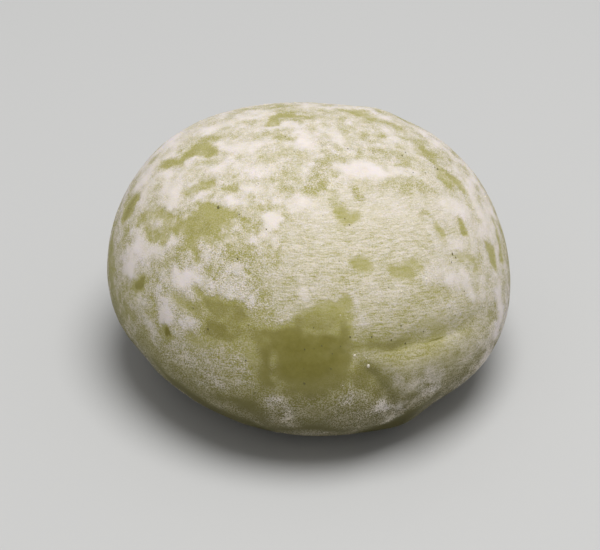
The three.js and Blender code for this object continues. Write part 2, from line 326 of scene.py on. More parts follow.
rubbed = [
    ["left shoulder, high", 0.12, 0.4,
     [(175, 48, 0.4), (174, 49.5, 0.8), (171.5, 52.5, 1.2), (173.5, 54.5, 1.3), (177, 56.5, 0.9)]],
    ["left shoulder, tip", 0.4, 0.5, [(166.5, 56.5, 0.5)]],
    ["left shoulder, low", 0.12, 0.5, [(175.5, 42, 0.8), (177.5, 44, 0.9), (178.5, 47.5, 0.6)]],
    ["under the shoulder", 0.2, 0.4,
     [(-160.5, 46, 0.5), (-159, 48, 0.7), (-159.5, 51, 0.8), (-156, 53.5, 0.7)]],
    ["left middle, top", 0.14, 0.3,
     [(-146.5, 47.5, 0.5), (-142, 49, 0.8), (-135.5, 50, 0.8), (-131.5, 51.5, 0.6)]],
    ["left middle", 0.12, 0.4,
     [(-146.5, 41.5, 0.9), (-143.5, 43.5, 1.3), (-139.5, 45, 1.3), (-135.5, 47.5, 0.9)]],
    ["left middle, low", 0.12, 0.5,
     [(-144, 40.5, 0.8), (-141, 41.5, 1.1), (-137.5, 42.5, 1.1), (-133.5, 44.5, 0.8)]],
    ["left middle, foot", 0.15, 0.5, [(-139.5, 37.5, 0.8), (-136, 36, 0.6), (-133, 34.5, 0.4)]],
    ["left middle, arm", 0.2, 0.6, [(-156, 36, 0.6), (-152, 37.5, 0.9), (-148, 39.5, 0.9)]],
    ["left middle, lobe", 0.2, 0.5, [(-160.5, 31.5, 0.8), (-156, 32, 1.1), (-152, 33.5, 0.9)]],
    ["beside the left middle", 0.3, 0.7, [(-124, 50, 0.6), (-118.5, 49.5, 0.7)]],
    ["left brow", 0.08, 0.5,
     [(-176, 32, 0.5), (-177.5, 30.5, 0.8), (-176.5, 29, 1.1), (-175, 26.5, 1.1), (-174, 25, 0.6)]],
    ["left brow, low", 0.3, 0.5, [(-168.5, 25, 0.3), (-168, 23, 0.5), (-167.5, 21.5, 0.4), (-164, 21, 0.3)]],
    ["left rim", 0.17, 1,
     [(-176, 16.5, 0.7), (-174, 14.5, 1.2), (-170.5, 12, 1.5),
      (-168, 10, 1.6), (-166, 8, 1.2), (-162.5, 6, 0.8)]],
    ["left rim, low", 0.26, 0.9, [(-159.5, 5, 0.6), (-156, 4, 0.8), (-153, 2, 0.6)]],
    ["left cheek", 0.03, 0.5, [(-150.5, 20.5, 0.5), (-151, 18, 0.9), (-152, 16.5, 0.8), (-150, 17.5, 0.7)]],
    ["low on the left", 0, 0.4, [(-136, 11.5, 0.6), (-135, 10.5, 0.7)]],
    ["diagonal band", 0.07, 0.5,
     [(-125.5, 25.5, 0.6), (-122.5, 24.5, 1.1), (-118.5, 24.5, 1.4), (-114.5, 24.5, 1.3), (-111, 23.5, 0.9)]],
    ["diagonal band, tail", 0.14, 0.5,
     [(-137, 21.5, 0.4), (-133.5, 21.5, 0.6), (-130, 21.5, 0.7), (-127.5, 22, 0.7)]],
    ["diagonal band, tip", 0.18, 0.4, [(-130, 26.5, 0.4), (-128, 26, 0.5)]],
    ["front patch, top", 0.14, 0.5,
     [(-78.5, 31.5, 0.4), (-79, 29.5, 0.7), (-80.5, 28, 0.9), (-84.5, 28.5, 0.9), (-87.5, 28.5, 0.6)]],
    ["front patch, high", 0.1, 0.6,
     [(-80, 25, 0.8), (-82.5, 25.5, 1.1), (-86, 25, 1.3), (-89.5, 25.5, 1.3), (-94, 25, 0.9)]],
    ["front patch, upper left", 0.04, 0.7,
     [(-94.5, 22, 0.9), (-97.5, 21, 1.1), (-101, 20.5, 1.1), (-104.5, 20.5, 0.9), (-106.5, 19, 0.8)]],
    ["front patch, right", 0.06, 0.5,
     [(-79.5, 22.5, 0.8), (-80, 19.5, 0.9), (-80, 16, 1), (-80.5, 12.5, 0.9), (-81.5, 9, 0.9)]],
    ["front patch, left", 0.04, 1,
     [(-104, 17, 1.1), (-104, 14, 1.2), (-104, 10.5, 1.2), (-103, 7.5, 1.1), (-101, 4.5, 0.8)]],
    ["front patch, middle", 0.02, 1.2,
     [(-83.5, 19.5, 1.3), (-89.5, 18.5, 1.9), (-95, 18.5, 2.1), (-99.5, 16, 1.8)]],
    ["front patch, low", 0.02, 1.3,
     [(-83, 14.5, 1.4), (-87.5, 11.5, 1.9), (-92.5, 10, 2.2), (-96.5, 10.5, 1.8)]],
    ["front patch, wettest", 0.01, 2, [(-87.5, 15.5, 0.5), (-92, 13.5, 0.9), (-97, 13, 0.5)]],
    ["front patch, lowest", 0.05, 1.1, [(-84, 5.5, 1.1), (-90.5, 3.5, 1.3), (-95.5, 4, 1)]],
    ["haze on the patch", 0.14, 0.5, [(-101, 14, 0.3), (-101.5, 11.5, 0.3)]],
    ["haze on the patch, left", 0.16, 0.5, [(-101, 7.5, 0.3)]],
    ["haze on the patch, high", 0.22, 0.4, [(-86, 29.5, 0.3), (-85, 29, 0.3)]],
    ["arc behind the crown", 0.2, 0.3,
     [(127.5, 68, 0.9), (120.5, 64.5, 0.6), (113, 64, 0.5),
      (106.5, 65.5, 0.45), (99.5, 66.5, 0.4), (93, 69, 0.3)]],
    ["under the arc", 0.4, 0.5, [(147, 72, 0.5), (146, 75.5, 0.5)]],
    ["behind the crown", 0.2, 0.8, [(61.5, 59, 0.8), (56.5, 56.5, 1.1), (49.5, 56, 0.8)]],
    ["behind the crown, line", 0.5, 0.6, [(42, 53.5, 0.3), (37.5, 51.5, 0.25)]],
    ["beside the crown", 0.42, 0.5, [(7.5, 58.5, 0.3), (0.5, 57, 0.4)]],
    ["right shoulder", 0.2, 0.5,
     [(2, 45, 0.6), (-2.5, 43.5, 0.9), (1.5, 40, 0.8), (0.5, 37, 0.8), (-0.5, 35.5, 0.5)]],
    ["scratch on the right", 0.36, 0.25, [(-32.5, 45.5, 0.2), (-30, 44.5, 0.2), (-29, 42, 0.2)]],
    ["below the crown, high", 0.36, 0.6, [(-72, 66, 0.5), (-73.5, 62.5, 0.6), (-73.5, 59.5, 0.7)]],
    ["below the crown", 0.14, 0.5, [(-72.5, 58, 0.6), (-72, 56, 0.8), (-69, 54, 0.7), (-65, 55.5, 0.4)]],
    ["over the crown's side", 0.46, 0.6, [(-25.5, 82.5, 0.4), (-16.5, 81, 0.4)]],
    ["beside the round heap", 0.42, 0.3, [(-106.5, 57.5, 0.4), (-103, 56.5, 0.3)]],
    ["right, first dab", 0.2, 0.3, [(-30, 40.5, 0.3), (-31.5, 39, 0.6), (-31.5, 37, 0.6)]],
    ["right, second dab", 0.14, 0.3, [(-17.5, 34.5, 0.3), (-20, 32.5, 0.6), (-21, 31, 0.5)]],
    ["right rim", 0.15, 0.4, [(-14, 22, 0.6), (-14, 19.5, 0.9), (-16.5, 16.5, 0.9)]],
    ["right rim, thin", 0.25, 0.5, [(-30, 28.5, 0.6), (-26, 25.5, 0.4), (-25.5, 22.5, 0.5), (-27, 21, 0.45)]],
    ["right rim, edge", 0.2, 0.4, [(-1.5, 21, 0.4), (-5, 18, 0.5), (-7.5, 15.5, 0.5), (-10.5, 13.5, 0.5)]],
    ["belly, left dab", 0.16, 0.4, [(-73.5, 40, 0.6), (-71, 40, 0.8), (-69, 39, 0.6)]],
    ["belly, right dab", 0.16, 0.5, [(-60, 35.5, 0.7), (-57.5, 34.5, 0.9), (-54.5, 33.5, 0.8)]],
    ["belly, right dab, high", 0.2, 0.35, [(-54, 36.5, 0.4), (-51.5, 35.5, 0.5), (-49, 33.5, 0.4)]],
    ["belly, thin", 0.34, 0.7, [(-49, 26.5, 0.5), (-47, 25, 0.7), (-44, 22.5, 0.7)]],
    ["above the fold, dab", 0.28, 0.5, [(-53.5, 18, 0.5), (-51.5, 17, 0.6), (-49.5, 15, 0.4)]],
    ["above the fold, spot", 0.36, 0.5, [(-63.5, 22.5, 0.5), (-63.5, 20, 0.4)]],
    ["along the fold", 0.08, 0.5,
     [(-72.5, 17, 0.5), (-68.5, 15.5, 0.7), (-65.5, 14.5, 0.85), (-63, 15, 0.8), (-60, 14.5, 0.5)]],
    ["along the fold, left", 0.08, 0.5, [(-78.5, 17, 0.5), (-76, 16.5, 0.6), (-72.5, 16.5, 0.6)]],
    ["long pleat", 0.06, 0.8,
     [(-72.5, 8, 0.7), (-71, 5.5, 0.9), (-69, 3, 1), (-67, -0.5, 0.9), (-64.5, -5.5, 0.8)]],
    ["short pleat", 0.16, 0.6, [(-61, -4.5, 0.5), (-59, -8, 0.6), (-60, -10, 0.4)]],
    ["dark on the gather", 0.3, 0.8,
     [(-48.5, -4, 0.6), (-43.5, -8.5, 0.6), (-40.5, -8, 0.5), (-46.5, -9, 0.4)]],
    ["left foot", 0.02, 1,
     [(-142, -4, 0.7), (-139.5, -6.5, 1), (-137, -9, 1.3), (-133.5, -10.5, 1.5), (-128, -12.5, 1.7),
      (-123, -14, 1.9), (-117.5, -15.5, 1.9), (-111, -16.5, 1.8), (-107.5, -21, 1.4)]],
    ["left foot, high", 0.03, 1.2, [(-117, -4, 0.7), (-112, -3.5, 1.1), (-107.5, -4, 1.1)]],
    ["under the patch", 0.12, 0.9, [(-92, -2, 0.8), (-89.5, -4, 1), (-87, -5, 0.9)]],
    ["under the patch, low", 0.1, 0.8, [(-90, -9.5, 0.9), (-86, -10.5, 0.8)]],
    ["left of the stipple", 0.06, 0.8, [(-105.5, -6, 0.7), (-103.5, -11.5, 0.5)]],
    ["right of the left middle", 0.2, 0.6, [(-130.5, 47, 0.8), (-128, 47.5, 0.6)]],
    ["between the drifts", 0.4, 0.6, [(-144, 58, 0.6), (-138.5, 58, 0.7)]],
    ["above the heap", 0.34, 0.6, [(-120.5, 57, 0.6), (-118, 58, 0.7), (-108, 58.5, 0.5)]],
    ["over the lobe", 0.26, 0.7,
     [(-165.5, 30, 0.7), (-164.5, 33, 0.9), (-161, 36, 0.9), (-156.5, 37.5, 0.8)]],
    ["right end of the fold", 0.14, 0.7, [(-51.5, 13.5, 0.6), (-47.5, 12.5, 0.6)]],
    ["foot edge", 0.02, 1.2, [(-102.5, -17.5, 0.6), (-95.5, -15, 0.8), (-89, -13, 0.8), (-80, -16.5, 0.6)]],
    ["left of the low stipple", 0.12, 0.8, [(-126, 13, 0.6), (-123, 12.5, 0.6)]],
    ["right rim, low", 0.4, 1, [(-33, 8, 0.6), (-33, 1.5, 0.7)]],
    ["left of the patch", 0.14, 0.8, [(-109, 14.5, 0.8), (-107, 12, 0.8)]],
    ["above the low middle", 0.3, 0.6, [(-144.5, 29.5, 0.6), (-140, 31, 0.6), (-135.5, 33, 0.5)]],
    ["left middle, right", 0.22, 0.6, [(-133, 40.5, 0.7), (-128.5, 43.5, 0.7), (-126.5, 44.5, 0.5)]],
    ["top rim, left", 0.5, 0.8, [(132, 51, 0.7), (125.5, 51, 0.7)]],
    ["in the tuck", 0.1, 0.3, [(-72, 13.4, 0.1), (-64, 12.9, 0.16), (-57, 12.4, 0.16), (-50, 11, 0.1)]],
]
dusting = {
    "thick": 0.66,  # on top, before the coats
    "thin": 0.08,  # at the foot
    "thickens": (-9, 15),  # from this height above the core up to this one
    "streaky": 0.3,  # how its film dried, where no coat says so
    "grainy": 0.8,
    "steps": 5,  # from one place of a path to the next
    "clouds": (7.0, 0.24),  # (size, how much it changes the coat)
    "stray": [(2.6, 0.3), (1.0, 0.26), (0.45, 0.2)],  # (size, how far it leads the edges astray)
    "mottling": [(4.2, 0.32), (2.3, 0.36), (1.3, 0.28), (0.7, 0.18)],  # (size, change of a half-coated place)
    "brushedEven": 0.9,  # how much of that is lost where the film is streaky
    "mottled": 2.5,  # how steeply it comes with the grain
    "residue": 0.13,  # the least that is left where nothing wiped it
    "wiped": (0.3, 0.3),  # below this level a rubbed place loses its grain, down to this
}
starts = {  # where in the noise each pattern starts
    "clouds": 3.0,
    "mottling": 5.0,
    "lumps": 20.0,
    "coatGrain": 31.0,
    "slant": (1.0, 0.7, 1.3),
}
hidden = {
    "dabs": 120,
    "seed": 41,
    "heights": (-0.45, 0.95),  # sines of their latitudes
    "highest": 80,
    "outOfSight": -0.2,  # cosine of the turn from the camera, past which they start
    "stops": (1, 5),
    "steps": (3, 6),
    "turns": 0.8,  # radians, to either side at each stop
    "sizes": (0.6, 1.9),
    "swelling": (0.6, 1.1),  # of the size, along the dab
    "edges": (0.35, 0.8),
    "bareShare": 0.55,
    "bare": (0.08, 0.35),  # how much of the dough they leave hidden
    "coated": (0.75, 1.0),  # how much they hide
    "low": 5,  # below this latitude they are thinner, by this much
    "thinner": 0.4,
}


def towards(longitude, latitude):
    around, up = math.radians(longitude), math.radians(latitude)
    return Vector((math.cos(up) * math.cos(around), math.cos(up) * math.sin(around), math.sin(up)))


def cadBall():
    ball = bmesh.new()
    ball.from_mesh(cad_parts["mochi"].data)
    bmesh.ops.remove_doubles(ball, verts=ball.verts, dist=skin["welded"] * mm)
    tree = BVHTree.FromBMesh(ball)
    ball.free()
    return tree


ball = cadBall()


def reachOf(direction):
    return ball.ray_cast(core * mm, direction)[3] / mm  # from the core out to the CAD ball's skin


def blownCube(cells):
    # an even grid on a cube, as directions from its middle
    cube = bmesh.new()
    bmesh.ops.create_cube(cube, size=2)
    bmesh.ops.subdivide_edges(cube, edges=cube.edges[:], cuts=cells - 1, use_grid_fill=True)
    mesh = bpy.data.meshes.new("doughBall")
    cube.to_mesh(mesh)
    cube.free()
    places = np.zeros(len(mesh.vertices) * 3)
    mesh.vertices.foreach_get("co", places)
    places = np.tan(places.reshape(-1, 3) * math.pi / 4)  # cells of equal angle
    return mesh, places / np.linalg.norm(places, axis=1, keepdims=True)


def evened(values, mesh, rounds):
    edges = np.zeros(len(mesh.edges) * 2, int)
    mesh.edges.foreach_get("vertices", edges)
    one, other = edges.reshape(-1, 2).T
    neighbours = np.bincount(edges)
    for _ in range(rounds):
        total = np.bincount(one, values[other]) + np.bincount(other, values[one])
        values = (values + total / neighbours) / 2
    return values


def ripple(points, size, start):
    shift = Vector([start * share for share in starts["slant"]])
    return np.array([noise.noise(Vector(p) + shift) for p in points / size])


def eased(share):
    share = np.clip(share, 0, 1)
    return share * share * (3 - 2 * share)


def traced(path, perLeg):
    # a smooth line over the skin through given places: its points from the core, and their reach
    rows = np.array([(*towards(*stop[:2]), *stop[2:]) for stop in path])
    if len(rows) > 1:
        rows = np.vstack([2 * rows[0] - rows[1], rows, 2 * rows[-1] - rows[-2]])
        t = np.arange(perLeg)[:, None] / perLeg
        legs = []
        for before, start, end, after in zip(rows, rows[1:], rows[2:], rows[3:]):
            bend = 2 * before - 5 * start + 4 * end - after
            twist = 3 * start - before - 3 * end + after
            legs.append((2 * start + (end - before) * t + bend * t**2 + twist * t**3) / 2)
        rows = np.vstack(legs + [rows[-2:-1]])
    ways = rows[:, :3] / np.linalg.norm(rows[:, :3], axis=1, keepdims=True)
    return ways * np.array([reachOf(Vector(way)) for way in ways])[:, None], rows[:, 3:].ravel()


def creaseRelief(points, ways):
    # how far the folds lower the skin, and how far off the nearest shut fold is
    relief, offFold = np.zeros(len(points)), np.ones(len(points))
    for what, depth, above, below, shut, path in creases:
        line, _ = traced(path, fold["steps"])
        span = fold["farthest"] + np.ptp(line, axis=0).max()
        near = np.flatnonzero(np.linalg.norm(points - line.mean(0), axis=1) < span)
        gaps = np.linalg.norm(points[near, None] - line[None], axis=2)
        nearest = gaps.argmin(1)
        upSide = np.cross(ways[near], np.gradient(line, axis=0)[nearest])
        side = np.sign(np.einsum("ij,ij->i", points[near] - line[nearest], upSide))
        away = gaps[np.arange(len(near)), nearest]
        fade = np.sin(math.pi * (nearest + 1) / (len(line) + 1)) ** fold["fade"]
        width = np.where(side > 0, above, below)
        relief[near] -= depth * fade * np.exp(-((away / width) ** fold["steepness"]))
        offFold[near] = np.minimum(offFold[near], away + 1 - shut * fade)
    return relief, offFold


def hiddenDabs():
    # the sides that the first view doesn't reach get dabs of the same kinds and sizes
    draw = np.random.default_rng(hidden["seed"])
    tilt = math.radians(view["elevation"])
    seenFrom = Vector((0, -math.cos(tilt), math.sin(tilt)))
    dabs = []
    while len(dabs) < hidden["dabs"]:
        longitude = draw.uniform(-180, 180)
        latitude = math.degrees(math.asin(draw.uniform(*hidden["heights"])))
        turn, stops = draw.uniform(0, 2 * math.pi), draw.integers(*hidden["stops"])
        size, bare = draw.uniform(*hidden["sizes"]), draw.random() < hidden["bareShare"]
        level = draw.uniform(*hidden["bare" if bare else "coated"])
        if latitude < hidden["low"] and not bare:
            level -= hidden["thinner"]
        edge, step = draw.uniform(*hidden["edges"]), draw.uniform(*hidden["steps"])
        if towards(longitude, latitude).dot(seenFrom) > hidden["outOfSight"]:
            continue
        path = []
        for stop in range(stops):
            path.append((longitude, latitude, size * draw.uniform(*hidden["swelling"])))
            turn += draw.uniform(-hidden["turns"], hidden["turns"])
            longitude += step * math.cos(turn) / math.cos(math.radians(latitude))
            latitude = min(hidden["highest"], latitude + step * math.sin(turn))
        dabs.append(["hidden side", level, edge, path])
    return dabs


def paintStarch(points):
    strayed = points.copy()
    for size, far in dusting["stray"]:
        strayed += far * np.array([noise.noise_vector(Vector(p)) for p in points / size])
    distance = np.linalg.norm(points, axis=1, keepdims=True)
    strayed *= distance / np.linalg.norm(strayed, axis=1, keepdims=True)  # along the skin, not off it
    size, change = dusting["clouds"]
    low, high = dusting["thickens"]
    share = eased((points[:, 2] - low) / (high - low))
    starch = dusting["thin"] + (dusting["thick"] - dusting["thin"]) * share
    starch += change * ripple(points, size, starts["clouds"])
    streak = np.full(len(points), dusting["streaky"])
    grain = np.full(len(points), dusting["grainy"])
    layers = [(level, edge, *film, path) for what, level, edge, *film, path in coats]
    wipedBelow, wipedTo = dusting["wiped"]
    for what, level, edge, path in drifts + hiddenDabs() + rubbed:
        layers.append((level, edge, None, wipedTo if level < wipedBelow else None, path))
    for level, edge, streaky, grainy, path in layers:
        line, reach = traced(path, dusting["steps"])
        middle = line.mean(0)
        span = np.linalg.norm(line - middle, axis=1).max() + reach.max() + edge
        near = np.flatnonzero(np.linalg.norm(strayed - middle, axis=1) < span)
        gaps = (np.linalg.norm(strayed[near, None] - line[None], axis=2) - reach).min(1)
        share = eased(0.5 - gaps / (2 * edge))
        starch[near] += (level - starch[near]) * share
        for film, told in ((streak, streaky), (grain, grainy)):
            if told is not None:
                film[near] += (told - film[near]) * share
    undecided = np.clip(4 * starch * (1 - starch), 0, 1)  # a bare or a well coated place stays so
    undecided *= (1 - dusting["brushedEven"] * streak) * np.clip(grain * dusting["mottled"], 0, 1)
    least = np.minimum(starch, dusting["residue"])
    for number, (size, change) in enumerate(dusting["mottling"]):
        starch += undecided * change * ripple(strayed, size, starts["mottling"] + 2 * number)
    return np.clip(starch, least.clip(0, 1), 1), streak, grain


loose = {
    "brushedOff": 0.7,  # of the loose grains, where the film is streaky
    "onThickCoat": 0.3,  # of the clumps, against those on a half coat
    "hidesFlecks": 0.8,  # of the leaf flecks, under a full coat
}


def makeDoughBall():
    mesh, ways = blownCube(skin["cells"])
    radius = np.array([reachOf(Vector(way)) for way in ways])
    radius = evened(radius, mesh, skin["evening"])
    points = ways * radius[:, None]
    starch, streak, grain = paintStarch(points)
    print("starch laid on, mean", round(float(starch.mean()), 3))
    relief, offFold = creaseRelief(points, ways)
    for number, (size, height) in enumerate(skin["lumps"]):
        relief += height * ripple(points, size, starts["lumps"] + number)
    size, height = skin["coatGrain"]
    relief += eased(starch) * (skin["coatHeight"] + height * ripple(points, size, starts["coatGrain"]))
    above = points[:, 2] + core.z
    radius += relief * np.clip(above / skin["settled"], 0, 1)
    down = np.where(ways[:, 2] < 0, -ways[:, 2], np.nan)
    radius = np.fmin(radius, core.z / down)  # none of it reaches below the table
    places = (ways * radius[:, None] + np.array(core)) * mm
    mesh.vertices.foreach_set("co", places.ravel())
    mesh.polygons.foreach_set("use_smooth", [True] * len(mesh.polygons))
    pole = towards(90, 90 - streaks["tilt"])
    ring = np.arccos(np.clip(ways @ np.array(pole), -1, 1)) * streaks["ballRadius"]
    half = 4 * starch * (1 - starch)
    aboveTable = above > skin["settled"]
    layers = {
        "starch": starch,
        "streak": streak,
        "grain": grain,
        "ring": ring,
        "offFold": offFold,
        "looseGrains": (half**2 * grain * (1 - loose["brushedOff"] * streak) * aboveTable).clip(0, 1),
        "clumps": (starch**2 * (loose["onThickCoat"] + half) * aboveTable).clip(0, 1),
        "flecks": ((1 - loose["hidesFlecks"] * starch) * aboveTable).clip(0, 1),
    }
    for name, values in layers.items():
        mesh.attributes.new(name, "FLOAT", "POINT").data.foreach_set("value", values.astype(np.float32))
    mesh.update()
    doughBall = bpy.data.objects.new("doughBall", mesh)
    scene.collection.objects.link(doughBall)
    return doughBall


# The finish of the skin
streaks = {
    "tilt": 25.0,  # the pole that the dried film's wrinkles run round leans back by this much
    "ballRadius": 22.0,
    "apart": 0.24,
    "long": 1.3,
    "share": 0.6,  # against the grain, where the film is at its most streaky
    "wander": 1.2,  # how many streaks one strays across
    "bends": (2.0, 1.0),  # (size, octaves) of that
    "detail": (2.0, 0.9),  # (octaves, roughness)
}
dough = {
    "wet": "#7F7833",  # where nothing dries it
    "deep": "#9A9450",
    "light": "#AAA55C",
    "clouds": (4.0, 6.0, 0.8),  # (size, octaves, roughness) of the slow change between the two
    "dried": (0.0, 0.14),  # from wet to light, as the starch on it thickens
    "driedUnevenly": 0.2,
    "dries": (8.0, 18.0, 0.35),  # from this height up to this one it can, and how far at the foot
    "roughness": 0.6,
    "ior": 1.47,
    "shine": 0.25,  # the residue of starch takes away most of its gloss
    "lightDepth": (2.2, 1.8, 0.7),  # how far red, green and blue light get
    "throughLight": 0.25,
    "dampAndFootShade": (4.0, 18.0, 0.3),  # from this height up to this one it dries, from this share of its colour: darker towards the foot, partly damp dough and partly painted shade where the table keeps the light off
    "shut": (0.05, 0.2),  # from the middle of a shut fold, where its painted shade ends
    # painted shade: the share of its colour that the dough keeps in a shut fold
    "paintedFoldShade": 0.7,
}
starchCoat = {
    "cool": "#ECE2E2",
    "warm": "#E6DDD2",
    "soaked": "#DBD0A4",  # where it is thin, the damp dough shows through it
    "soaks": (0.75, 0.0, 0.55),  # from this much starch down to this much, up to this share
    "clouds": (3.0, 3.0),  # (size, octaves) of the change from cool to warm
    # the coat is darker towards the foot too, from this height up to this one, from this share of its colour:
    # partly damp starch, partly painted shade
    "dampAndFootShade": (1.0, 12.0, 0.94),
    "roughness": 0.95,
    "caking": (1.6, 3.0, 0.75),  # (size, octaves, roughness) of its broad heaps
    "cakingSwing": 2.2,  # how far they swing the coat
    "grains": (0.17, 2.0, 0.7),  # the same of its fine grain
    "grainSwing": 4.4,
    "starts": (0.02, 0.14),  # from a bare place to one with its full grain
    "heaps": (0.06, 0.34),  # the same for its heaps
    "fills": 2.2,  # how steeply a thick coat loses both
    "brushedFlat": 0.9,  # how much of the heaps is lost where it is streaky
    "headroom": (2.2, 1.0),  # how far past its mean a thin film may swing, where grainy and where streaky
    "softness": 0.1,
    "relief": 0.05,
    "grainRelief": 0.4,  # how much the grain adds to it
}


def dustedRiceDough():
    # Steamed rice dough with ground leaf, kneaded, rolled by hand and tossed in potato starch: a satin olive
    # skin that lets a little light in, under a dead-matt white coat that is rubbed thin and dried to streaks.
    material = bpy.data.materials.new("rice dough tossed in starch")
    material.use_nodes = True
    tree = material.node_tree
    shader = tree.nodes["Principled BSDF"]
    inMm = addScaled(tree, addNode(tree, "ShaderNodeTexCoord").outputs["Object"], 1 / mm)
    up = addNode(tree, "ShaderNodeSeparateXYZ", {0: inMm}).outputs["Z"]
    starch, streak, grain, ring, offFold = [
        addNode(tree, "ShaderNodeAttribute", attribute_name=name).outputs["Fac"]
        for name in ("starch", "streak", "grain", "ring", "offFold")
    ]

    # the dried film: caked in heaps, with a fine grain that is drawn out to streaks where it was brushed
    heaps = addNoise(tree, inMm, *starchCoat["caking"])
    grains = addNoise(tree, inMm, *starchCoat["grains"])
    drift = addNoise(tree, inMm, *streaks["bends"])
    rings = addMath(tree, "MULTIPLY", ring, 1 / streaks["apart"])
    wavyRings = addMath(tree, "MULTIPLY_ADD", drift, streaks["wander"], rings)
    along = addScaled(tree, inMm, 1 / streaks["long"])
    octaves, roughness = streaks["detail"]
    lines = addNode(tree, "ShaderNodeTexNoise", {
        "Vector": along, "W": wavyRings, "Scale": 1.0, "Detail": octaves, "Roughness": roughness,
    }, noise_dimensions="4D").outputs["Fac"]
    streaky = addMath(tree, "MULTIPLY", streak, streaks["share"])
    film = addNode(tree, "ShaderNodeMix", {0: streaky, 2: grains, 3: lines}).outputs[0]

    # a bare place shows none of it, a thick coat little, and none heaps up past a full coat
    bare = addMath(tree, "SUBTRACT", 1.0, starch)
    unbrushed = addRamp(tree, streak, 0.0, 1.0, 1.0, 1 - starchCoat["brushedFlat"])
    room = addMath(tree, "MULTIPLY", bare, starchCoat["fills"], use_clamp=True)
    roomForHeaps = addMath(tree, "MULTIPLY", room, unbrushed)
    roomForGrain = addMath(tree, "MULTIPLY", room, grain)
    swung = starch
    for pattern, far, (first, last), free in (
        (heaps, starchCoat["cakingSwing"], starchCoat["heaps"], roomForHeaps),
        (film, starchCoat["grainSwing"], starchCoat["starts"], roomForGrain),
    ):
        started = addRamp(tree, starch, first, last, 0.0, 1.0, interpolation_type="SMOOTHSTEP")
        free = addMath(tree, "MULTIPLY", free, started)
        free = addMath(tree, "MULTIPLY", free, far)
        offMiddle = addMath(tree, "SUBTRACT", pattern, 0.5)
        swung = addMath(tree, "MULTIPLY_ADD", offMiddle, free, swung)
    headroom = addRamp(tree, streak, 0.0, 1.0, *starchCoat["headroom"])
    half = addMath(tree, "MULTIPLY", bare, starch)
    ceiling = addMath(tree, "MULTIPLY_ADD", half, headroom, starch)
    coated = addMath(tree, "SMOOTH_MIN", swung, ceiling, starchCoat["softness"], use_clamp=True)
    # in a shut fold the coat is taken off and the dough below is darkened: a painted shade line along the
    # fold
    openness = addRamp(tree, offFold, *dough["shut"], 0.0, 1.0, interpolation_type="SMOOTHSTEP")
    coated = addMath(tree, "MULTIPLY", coated, openness)

    clouds = addNoise(tree, inMm, *dough["clouds"])
    under = addMixed(tree, clouds, fromHex(dough["deep"]), fromHex(dough["light"]))
    offMiddle = addMath(tree, "SUBTRACT", clouds, 0.5)
    dryness = addMath(tree, "MULTIPLY_ADD", offMiddle, dough["driedUnevenly"], starch)
    wetTo, dryFrom, share = dough["dries"]
    driest = addRamp(tree, up, wetTo, dryFrom, share, 1.0)
    dried = addRamp(tree, dryness, *dough["dried"], 0.0, driest)
    under = addMixed(tree, dried, fromHex(dough["wet"]), under)
    tints = addNoise(tree, inMm, *starchCoat["clouds"])
    powder = addMixed(tree, tints, fromHex(starchCoat["cool"]), fromHex(starchCoat["warm"]))
    first, last, share = starchCoat["soaks"]
    soaked = addRamp(tree, starch, first, last, 0.0, share)
    powder = addMixed(tree, soaked, powder, fromHex(starchCoat["soaked"]))

    # both are darker towards the foot, partly damp and partly painted shade where the table keeps the light
    # off, and the dough gets painted shade in the folds
    shares = []
    for wetTo, dryFrom, share in (dough["dampAndFootShade"], starchCoat["dampAndFootShade"]):
        shares.append(addRamp(tree, up, wetTo, dryFrom, share, 1.0, interpolation_type="SMOOTHSTEP"))
    shade = addRamp(tree, openness, 0.0, 1.0, dough["paintedFoldShade"], 1.0)
    shade = addMath(tree, "MULTIPLY", shade, shares[0])
    under = addScaled(tree, under, shade)
    powder = addScaled(tree, powder, shares[1])
    colour = addMixed(tree, coated, under, powder)
    roughness = addNode(tree, "ShaderNodeMix", {0: coated, 2: dough["roughness"], 3: starchCoat["roughness"]})
    height = addMath(tree, "MULTIPLY_ADD", film, starchCoat["grainRelief"], coated)
    bump = addNode(tree, "ShaderNodeBump", {
        "Height": height, "Distance": starchCoat["relief"] * mm, "Strength": 1.0,
    }).outputs["Normal"]

    tree.links.new(colour, shader.inputs["Base Color"])
    tree.links.new(roughness.outputs[0], shader.inputs["Roughness"])
    tree.links.new(bump, shader.inputs["Normal"])
    shader.inputs["IOR"].default_value = dough["ior"]
    shader.inputs["Specular IOR Level"].default_value = dough["shine"]
    shader.inputs["Subsurface Weight"].default_value = dough["throughLight"]
    shader.inputs["Subsurface Radius"].default_value = [depth * mm for depth in dough["lightDepth"]]
    shader.inputs["Subsurface Scale"].default_value = 1.0
    return material


doughBall = makeDoughBall()
doughBall.data.materials.append(dustedRiceDough())
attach(doughBall, "root")
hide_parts("mochi")
print("dough ball made,", len(doughBall.data.polygons), "cells")

